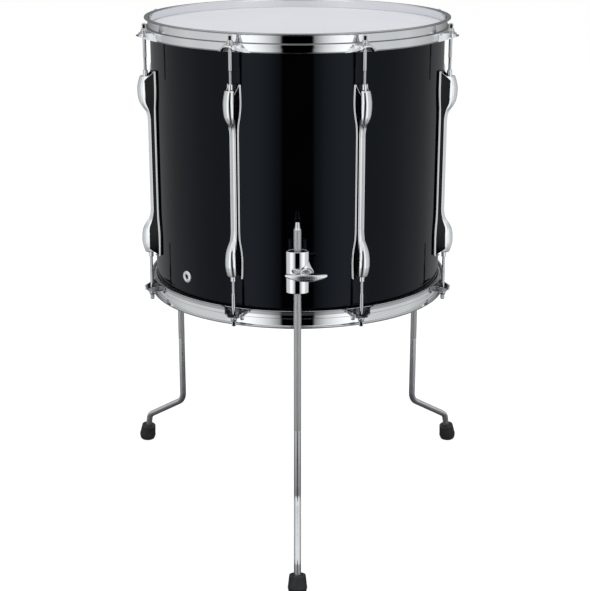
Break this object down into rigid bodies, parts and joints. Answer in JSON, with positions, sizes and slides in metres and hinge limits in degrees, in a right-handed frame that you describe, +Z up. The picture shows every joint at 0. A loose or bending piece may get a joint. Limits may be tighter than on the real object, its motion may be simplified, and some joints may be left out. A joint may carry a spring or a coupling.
{
  "type": "floor tom",
  "caption": "Floor-standing cylindrical drum with two tensioned heads, triple-flanged hoops, bridge lugs and height-adjustable bent legs in clamp brackets.",
  "frame": {"origin": "on the floor under the middle of the whole object's bounding box", "axes": "+Z up along the shell's axis, -Y towards the front leg, +X to the right seen from the front"},
  "size_m": [0.5876, 0.6144, 0.8062],
  "materials": {
    "black_lacquer": "gloss lacquer",
    "coated_film": "matt coated",
    "clear_film": "clear gloss film",
    "flesh_hoop_alloy": "satin",
    "chrome": "polished",
    "knurled_steel": "knurled above, polished below",
    "foot_rubber": "matt"
  },
  "bodies": {
    "drum": {"shell": "black_lacquer", "batter_head": "coated_film", "batter_flesh_hoop": "flesh_hoop_alloy", "batter_hoop": "chrome", "resonant_head": "clear_film", "resonant_flesh_hoop": "flesh_hoop_alloy", "resonant_hoop": "chrome", "lug_1": "chrome", "lug_2": "chrome", "lug_3": "chrome", "lug_4": "chrome", "lug_5": "chrome", "lug_6": "chrome", "lug_7": "chrome", "lug_8": "chrome", "leg_bracket_front": "chrome", "leg_bracket_right": "chrome", "leg_bracket_left": "chrome", "vent_grommet": "chrome"},
    "rod_top_1": {"tension_rod_top_1": "chrome"},
    "rod_bottom_1": {"tension_rod_bottom_1": "chrome"},
    "rod_top_2": {"tension_rod_top_2": "chrome"},
    "rod_bottom_2": {"tension_rod_bottom_2": "chrome"},
    "rod_top_3": {"tension_rod_top_3": "chrome"},
    "rod_bottom_3": {"tension_rod_bottom_3": "chrome"},
    "rod_top_4": {"tension_rod_top_4": "chrome"},
    "rod_bottom_4": {"tension_rod_bottom_4": "chrome"},
    "rod_top_5": {"tension_rod_top_5": "chrome"},
    "rod_bottom_5": {"tension_rod_bottom_5": "chrome"},
    "rod_top_6": {"tension_rod_top_6": "chrome"},
    "rod_bottom_6": {"tension_rod_bottom_6": "chrome"},
    "rod_top_7": {"tension_rod_top_7": "chrome"},
    "rod_bottom_7": {"tension_rod_bottom_7": "chrome"},
    "rod_top_8": {"tension_rod_top_8": "chrome"},
    "rod_bottom_8": {"tension_rod_bottom_8": "chrome"},
    "jaw_front": {"clamp_jaw_front": "chrome"},
    "wing_front": {"wing_bolt_front": "chrome"},
    "leg_front": {"leg_front": "knurled_steel", "rubber_foot_front": "foot_rubber"},
    "jaw_right": {"clamp_jaw_right": "chrome"},
    "wing_right": {"wing_bolt_right": "chrome"},
    "leg_right": {"leg_right": "knurled_steel", "rubber_foot_right": "foot_rubber"},
    "jaw_left": {"clamp_jaw_left": "chrome"},
    "wing_left": {"wing_bolt_left": "chrome"},
    "leg_left": {"leg_left": "knurled_steel", "rubber_foot_left": "foot_rubber"}
  },
  "joints": [
    {"name": "rod_top_1_turn", "type": "hinge", "parent": "drum", "child": "rod_top_1", "pos_m": [0.09471, -0.16541, 0.5891], "axis": [0, 0, 1], "continuous": true},
    {"name": "rod_bottom_1_turn", "type": "hinge", "parent": "drum", "child": "rod_bottom_1", "pos_m": [0.09471, -0.16541, 0.5891], "axis": [0, 0, 1], "continuous": true},
    {"name": "rod_top_2_turn", "type": "hinge", "parent": "drum", "child": "rod_top_2", "pos_m": [0.22866, -0.03146, 0.5891], "axis": [0, 0, 1], "continuous": true},
    {"name": "rod_bottom_2_turn", "type": "hinge", "parent": "drum", "child": "rod_bottom_2", "pos_m": [0.22866, -0.03146, 0.5891], "axis": [0, 0, 1], "continuous": true},
    {"name": "rod_top_3_turn", "type": "hinge", "parent": "drum", "child": "rod_top_3", "pos_m": [0.22866, 0.15797, 0.5891], "axis": [0, 0, 1], "continuous": true},
    {"name": "rod_bottom_3_turn", "type": "hinge", "parent": "drum", "child": "rod_bottom_3", "pos_m": [0.22866, 0.15797, 0.5891], "axis": [0, 0, 1], "continuous": true},
    {"name": "rod_top_4_turn", "type": "hinge", "parent": "drum", "child": "rod_top_4", "pos_m": [0.09471, 0.29191, 0.5891], "axis": [0, 0, 1], "continuous": true},
    {"name": "rod_bottom_4_turn", "type": "hinge", "parent": "drum", "child": "rod_bottom_4", "pos_m": [0.09471, 0.29191, 0.5891], "axis": [0, 0, 1], "continuous": true},
    {"name": "rod_top_5_turn", "type": "hinge", "parent": "drum", "child": "rod_top_5", "pos_m": [-0.09471, 0.29191, 0.5891], "axis": [0, 0, 1], "continuous": true},
    {"name": "rod_bottom_5_turn", "type": "hinge", "parent": "drum", "child": "rod_bottom_5", "pos_m": [-0.09471, 0.29191, 0.5891], "axis": [0, 0, 1], "continuous": true},
    {"name": "rod_top_6_turn", "type": "hinge", "parent": "drum", "child": "rod_top_6", "pos_m": [-0.22866, 0.15797, 0.5891], "axis": [0, 0, 1], "continuous": true},
    {"name": "rod_bottom_6_turn", "type": "hinge", "parent": "drum", "child": "rod_bottom_6", "pos_m": [-0.22866, 0.15797, 0.5891], "axis": [0, 0, 1], "continuous": true},
    {"name": "rod_top_7_turn", "type": "hinge", "parent": "drum", "child": "rod_top_7", "pos_m": [-0.22866, -0.03146, 0.5891], "axis": [0, 0, 1], "continuous": true},
    {"name": "rod_bottom_7_turn", "type": "hinge", "parent": "drum", "child": "rod_bottom_7", "pos_m": [-0.22866, -0.03146, 0.5891], "axis": [0, 0, 1], "continuous": true},
    {"name": "rod_top_8_turn", "type": "hinge", "parent": "drum", "child": "rod_top_8", "pos_m": [-0.09471, -0.16541, 0.5891], "axis": [0, 0, 1], "continuous": true},
    {"name": "rod_bottom_8_turn", "type": "hinge", "parent": "drum", "child": "rod_bottom_8", "pos_m": [-0.09471, -0.16541, 0.5891], "axis": [0, 0, 1], "continuous": true},
    {"name": "jaw_front_slide", "type": "slide", "parent": "drum", "child": "jaw_front", "axis": [0, -1, 0], "range_m": [0, 0.0025]},
    {"name": "wing_front_turn", "type": "hinge", "parent": "jaw_front", "child": "wing_front", "pos_m": [0.0126, -0.19675, 0.4664], "axis": [0, -1, 0], "range_deg": [0, 720]},
    {"name": "leg_front_slide", "type": "slide", "parent": "drum", "child": "leg_front", "axis": [0, 0, 1], "range_m": [-0.05, 0.25]},
    {"name": "jaw_right_slide", "type": "slide", "parent": "drum", "child": "jaw_right", "axis": [0.7934, 0.6088, 0], "range_m": [0, 0.0025]},
    {"name": "wing_right_turn", "type": "hinge", "parent": "jaw_right", "child": "wing_right", "pos_m": [0.1986, 0.23153, 0.4664], "axis": [0.7934, 0.6088, 0], "range_deg": [0, 720]},
    {"name": "leg_right_slide", "type": "slide", "parent": "drum", "child": "leg_right", "axis": [0, 0, 1], "range_m": [-0.05, 0.25]},
    {"name": "jaw_left_slide", "type": "slide", "parent": "drum", "child": "jaw_left", "axis": [-0.7934, 0.6088, 0], "range_m": [0, 0.0025]},
    {"name": "wing_left_turn", "type": "hinge", "parent": "jaw_left", "child": "wing_left", "pos_m": [-0.21394, 0.21153, 0.4664], "axis": [-0.7934, 0.6088, 0], "range_deg": [0, 720]},
    {"name": "leg_left_slide", "type": "slide", "parent": "drum", "child": "leg_left", "axis": [0, 0, 1], "range_m": [-0.05, 0.25]}
  ],
  "couplings": [
    {"joint": "wing_front_turn", "follows": "jaw_front_slide", "rad_per_m": 5026.5},
    {"joint": "wing_right_turn", "follows": "jaw_right_slide", "rad_per_m": 5026.5},
    {"joint": "wing_left_turn", "follows": "jaw_left_slide", "rad_per_m": 5026.5}
  ]
}
